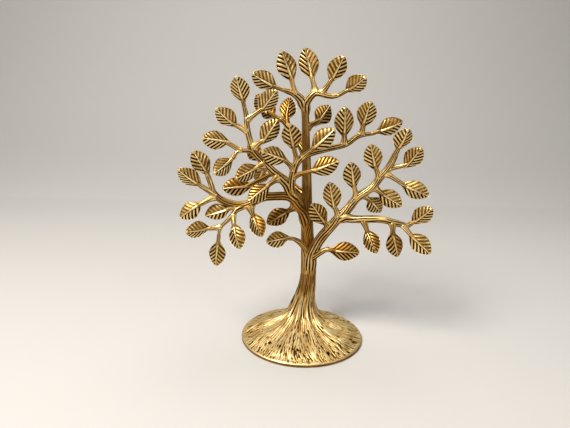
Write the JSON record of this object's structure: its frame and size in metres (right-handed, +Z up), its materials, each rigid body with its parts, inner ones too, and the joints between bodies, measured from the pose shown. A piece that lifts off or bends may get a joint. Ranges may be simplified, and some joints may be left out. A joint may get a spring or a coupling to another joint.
{
  "type": "cast brass tree of life",
  "caption": "Small tabletop tree of life in cast brass, with curved boughs, folded veined leaves and a domed root base.",
  "frame": {"origin": "centre of the base's underside, on the surface that the tree stands on", "axes": "+Z up the trunk, +X to the viewer's right, -Y towards the front that the leaves face"},
  "size_m": [0.1479, 0.078, 0.1802],
  "materials": {
    "brass": "satin antique, pale gold on the ridges and near-black brown in the grooves"
  },
  "bodies": {
    "root": {"base": "brass", "cross_bough": "brass", "cross_bough_leaf_1": "brass", "cross_bough_leaf_2": "brass", "cross_bough_leaf_3": "brass", "cross_bough_leaf_4": "brass", "cross_bough_leaf_5": "brass", "cross_bough_leaf_6": "brass", "cross_bough_leaf_7": "brass", "drop_twig": "brass", "drop_twig_leaves": "brass", "left_bough": "brass", "left_bough_leaf_1": "brass", "left_bough_leaf_2": "brass", "left_bough_leaf_3": "brass", "left_bough_leaf_4": "brass", "left_bough_leaf_5": "brass", "left_bough_leaf_6": "brass", "low_left_sprig": "brass", "low_left_sprig_leaf_1": "brass", "low_right_sprig": "brass", "low_right_sprig_leaf_1": "brass", "rear_bough": "brass", "rear_bough_leaves": "brass", "rear_left_bough": "brass", "rear_left_bough_leaves": "brass", "right_bough": "brass", "right_bough_leaf_1": "brass", "right_bough_leaf_2": "brass", "right_bough_leaf_3": "brass", "right_bough_leaf_4": "brass", "right_bough_leaf_5": "brass", "right_bough_leaf_6": "brass", "right_bough_leaf_7": "brass", "right_bough_leaf_8": "brass", "right_bough_leaf_9": "brass", "right_low_bough": "brass", "right_low_bough_leaf_1": "brass", "right_low_bough_leaf_2": "brass", "right_low_bough_leaf_3": "brass", "right_low_bough_leaf_4": "brass", "side_twig": "brass", "side_twig_leaves": "brass", "top_left_fork": "brass", "top_left_fork_leaf_1": "brass", "top_left_fork_leaf_2": "brass", "top_right_fork": "brass", "top_right_fork_leaf_1": "brass", "top_right_fork_leaf_2": "brass", "top_right_fork_leaf_3": "brass", "trunk": "brass", "trunk_leaf_1": "brass", "upper_left_bough": "brass", "upper_left_bough_leaf_1": "brass", "upper_left_bough_leaf_2": "brass", "upper_left_bough_leaf_3": "brass", "upper_left_bough_leaf_4": "brass", "upper_left_bough_leaf_5": "brass", "upper_left_bough_leaf_6": "brass"}
  },
  "joints": []
}
